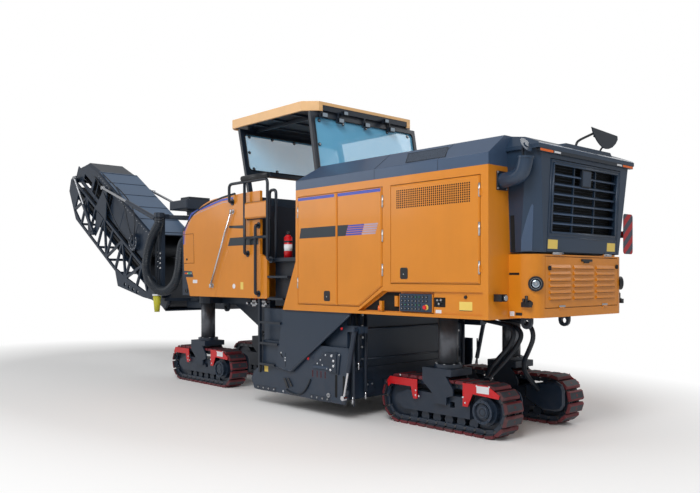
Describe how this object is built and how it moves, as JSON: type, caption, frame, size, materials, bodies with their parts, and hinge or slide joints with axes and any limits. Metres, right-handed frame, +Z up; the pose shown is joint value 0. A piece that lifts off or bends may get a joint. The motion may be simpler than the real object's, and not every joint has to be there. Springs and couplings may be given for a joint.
{
  "type": "cold planer milling machine",
  "caption": "Tracked cold planer with a milling drum under its frame, operator canopy, bonneted engine bay and a folded discharge conveyor at its front.",
  "frame": {"origin": "centre of the machine's box, on the ground plane under its tracks", "axes": "+X to the machine's front, where the discharge conveyor is; +Y to its left; +Z up"},
  "size_m": [12.9572, 2.76, 4.3394],
  "materials": {
    "belt_rubber": "ribbed rubber",
    "body_yellow": "gloss paint",
    "boom_slate": "satin paint",
    "dark_steel": "satin paint",
    "drum_steel": "worn steel",
    "engine_iron": "painted casting",
    "frame_slate": "satin paint",
    "guard_red": "gloss paint",
    "hood_slate": "satin paint",
    "rod_chrome": "polished",
    "roof_cream": "gloss paint",
    "screen_glass": "clear, faint blue",
    "track_rubber": "moulded shoes, dusty"
  },
  "bodies": {
    "chassis": {"air_intake": "dark_steel", "canopy_frame": "dark_steel", "canopy_glass": "screen_glass", "canopy_roof": "roof_cream", "drum_housing": "dark_steel", "dust_duct": "belt_rubber", "engine_block": "engine_iron", "extinguisher": "guard_red", "front_body": "body_yellow", "handrails": "dark_steel", "hazard_board": "dark_steel", "hood": "hood_slate", "ladders": "dark_steel", "loading_conveyor": "dark_steel", "main_frame": "dark_steel", "nose": "dark_steel", "platform": "dark_steel", "radiator_housing": "hood_slate", "rear_body": "body_yellow", "rear_box": "body_yellow", "rear_mirror": "dark_steel", "slew_support": "dark_steel", "work_lamps": "dark_steel"},
    "crawler_rear_left": {"crawler_rear_left": "frame_slate", "track_rear_left": "track_rubber", "guards_rear_left": "guard_red"},
    "crawler_rear_right": {"crawler_rear_right": "frame_slate", "track_rear_right": "track_rubber", "guards_rear_right": "guard_red"},
    "crawler_front_left": {"crawler_front_left": "frame_slate", "track_front_left": "track_rubber", "guards_front_left": "guard_red"},
    "crawler_front_right": {"crawler_front_right": "frame_slate", "track_front_right": "track_rubber", "guards_front_right": "guard_red"},
    "door_left_front": {"door_left_front": "body_yellow"},
    "door_left_middle": {"door_left_middle": "body_yellow"},
    "door_left_rear": {"door_left_rear": "body_yellow"},
    "side_plate_left": {"side_plate_left": "dark_steel"},
    "door_right_front": {"door_right_front": "body_yellow"},
    "door_right_middle": {"door_right_middle": "body_yellow"},
    "door_right_rear": {"door_right_rear": "body_yellow"},
    "side_plate_right": {"side_plate_right": "dark_steel"},
    "louvre_door": {"louvre_door": "body_yellow"},
    "grille_door": {"grille_door": "hood_slate"},
    "milling_drum": {"milling_drum": "drum_steel"},
    "slew_yoke": {"slew_yoke": "dark_steel"},
    "boom_lower": {"boom_lower": "dark_steel", "boom_lower_belt": "belt_rubber"},
    "boom_upper": {"boom_upper": "boom_slate", "boom_upper_belt": "belt_rubber"},
    "plate_barrel_left": {"plate_barrel_left": "dark_steel"},
    "plate_rod_left": {"plate_rod_left": "dark_steel"},
    "plate_barrel_right": {"plate_barrel_right": "dark_steel"},
    "plate_rod_right": {"plate_rod_right": "dark_steel"},
    "lift_barrels": {"lift_barrels": "dark_steel"},
    "lift_rods": {"lift_rods": "rod_chrome"},
    "fold_barrels": {"fold_barrels": "dark_steel"},
    "fold_rods": {"fold_rods": "rod_chrome"}
  },
  "joints": [
    {"name": "steer_rear_left", "type": "hinge", "parent": "chassis", "child": "crawler_rear_left", "pos_m": [-4.947, 0.625, 0.7], "axis": [0, 0, 1], "range_deg": [-20, 20]},
    {"name": "steer_rear_right", "type": "hinge", "parent": "chassis", "child": "crawler_rear_right", "pos_m": [-4.947, -0.625, 0.7], "axis": [0, 0, 1], "range_deg": [-20, 20]},
    {"name": "steer_front_left", "type": "hinge", "parent": "chassis", "child": "crawler_front_left", "pos_m": [0.303, 0.625, 0.7], "axis": [0, 0, 1], "range_deg": [-20, 20]},
    {"name": "steer_front_right", "type": "hinge", "parent": "chassis", "child": "crawler_front_right", "pos_m": [0.303, -0.625, 0.7], "axis": [0, 0, 1], "range_deg": [-20, 20]},
    {"name": "door_left_front_hinge", "type": "hinge", "parent": "chassis", "child": "door_left_front", "pos_m": [-2.947, 1.283, 2.1], "axis": [0, 0, -1], "range_deg": [0, 90]},
    {"name": "door_right_front_hinge", "type": "hinge", "parent": "chassis", "child": "door_right_front", "pos_m": [-2.947, -1.283, 2.1], "axis": [0, 0, 1], "range_deg": [0, 90]},
    {"name": "door_left_middle_hinge", "type": "hinge", "parent": "chassis", "child": "door_left_middle", "pos_m": [-4.506, 1.283, 2.1], "axis": [0, 0, 1], "range_deg": [0, 90]},
    {"name": "door_right_middle_hinge", "type": "hinge", "parent": "chassis", "child": "door_right_middle", "pos_m": [-4.506, -1.283, 2.1], "axis": [0, 0, -1], "range_deg": [0, 90]},
    {"name": "door_left_rear_hinge", "type": "hinge", "parent": "chassis", "child": "door_left_rear", "pos_m": [-5.916, 1.283, 2.1], "axis": [0, 0, 1], "range_deg": [0, 90]},
    {"name": "door_right_rear_hinge", "type": "hinge", "parent": "chassis", "child": "door_right_rear", "pos_m": [-5.916, -1.283, 2.1], "axis": [0, 0, -1], "range_deg": [0, 90]},
    {"name": "side_plate_left_lift", "type": "slide", "parent": "chassis", "child": "side_plate_left", "axis": [0, 0, 1], "range_m": [-0.19, 0.1]},
    {"name": "side_plate_right_lift", "type": "slide", "parent": "chassis", "child": "side_plate_right", "axis": [0, 0, 1], "range_m": [-0.19, 0.1]},
    {"name": "louvre_door_hinge", "type": "hinge", "parent": "chassis", "child": "louvre_door", "pos_m": [-6.34, 0, 1.453], "axis": [0, -1, 0], "range_deg": [0, 100]},
    {"name": "grille_door_hinge", "type": "hinge", "parent": "chassis", "child": "grille_door", "pos_m": [-6.34, 0, 2.021], "axis": [0, -1, 0], "range_deg": [0, 90]},
    {"name": "drum_spin", "type": "hinge", "parent": "chassis", "child": "milling_drum", "pos_m": [-2.827, 0, 0.745], "axis": [0, 1, 0], "continuous": true},
    {"name": "conveyor_slew", "type": "hinge", "parent": "chassis", "child": "slew_yoke", "pos_m": [1.653, 0, 2], "axis": [0, 0, 1], "range_deg": [-60, 60], "deforming": ["dust_duct"]},
    {"name": "conveyor_lift", "type": "hinge", "parent": "slew_yoke", "child": "boom_lower", "pos_m": [2.003, 0, 1.45], "axis": [0, -1, 0], "range_deg": [-24, 6]},
    {"name": "conveyor_fold", "type": "hinge", "parent": "boom_lower", "child": "boom_upper", "pos_m": [6.24598, 0, 3.99944], "axis": [0, 1, 0], "range_deg": [0, 175]},
    {"name": "plate_barrel_left_turn", "type": "hinge", "parent": "chassis", "child": "plate_barrel_left", "pos_m": [-4.023, 1.26, 1.136], "axis": [0, -1, 0], "range_deg": [-2.68, 1.42]},
    {"name": "plate_rod_left_slide", "type": "slide", "parent": "plate_barrel_left", "child": "plate_rod_left", "axis": [0.2281, 0, -0.9736], "range_m": [-0.09765, 0.18545]},
    {"name": "plate_barrel_right_turn", "type": "hinge", "parent": "chassis", "child": "plate_barrel_right", "pos_m": [-4.023, -1.26, 1.136], "axis": [0, -1, 0], "range_deg": [-2.68, 1.42]},
    {"name": "plate_rod_right_slide", "type": "slide", "parent": "plate_barrel_right", "child": "plate_rod_right", "axis": [0.2281, 0, -0.9736], "range_m": [-0.09765, 0.18545]},
    {"name": "lift_barrel_turn", "type": "hinge", "parent": "slew_yoke", "child": "lift_barrels", "pos_m": [2.171, 0, 2.866], "axis": [0, -1, 0], "range_deg": [-27.48, 6.89]},
    {"name": "lift_rod_slide", "type": "slide", "parent": "lift_barrels", "child": "lift_rods", "axis": [0.947, 0, 0.3213], "range_m": [-0.14205, 0.56789]},
    {"name": "fold_barrel_turn", "type": "hinge", "parent": "boom_lower", "child": "fold_barrels", "pos_m": [5.07887, 0, 2.73819], "axis": [0, -1, 0], "range_deg": [-9.02, 0.02]},
    {"name": "fold_rod_slide", "type": "slide", "parent": "fold_barrels", "child": "fold_rods", "axis": [0.6145, 0, 0.789], "range_m": [-0.0001, 0.17973]}
  ],
  "couplings": [
    {"joint": "plate_barrel_left_turn", "follows": "side_plate_left_lift", "rad_per_m": 0.24395},
    {"joint": "plate_rod_left_slide", "follows": "side_plate_left_lift", "ratio": -0.97554},
    {"joint": "plate_barrel_right_turn", "follows": "side_plate_right_lift", "rad_per_m": 0.24395},
    {"joint": "plate_rod_right_slide", "follows": "side_plate_right_lift", "ratio": -0.97554},
    {"joint": "lift_barrel_turn", "follows": "conveyor_lift", "ratio": 1.1442},
    {"joint": "lift_rod_slide", "follows": "conveyor_lift", "m_per_rad": -1.3555},
    {"joint": "fold_barrel_turn", "follows": "conveyor_fold", "ratio": -0.051452},
    {"joint": "fold_rod_slide", "follows": "conveyor_fold", "m_per_rad": 0.05881}
  ]
}
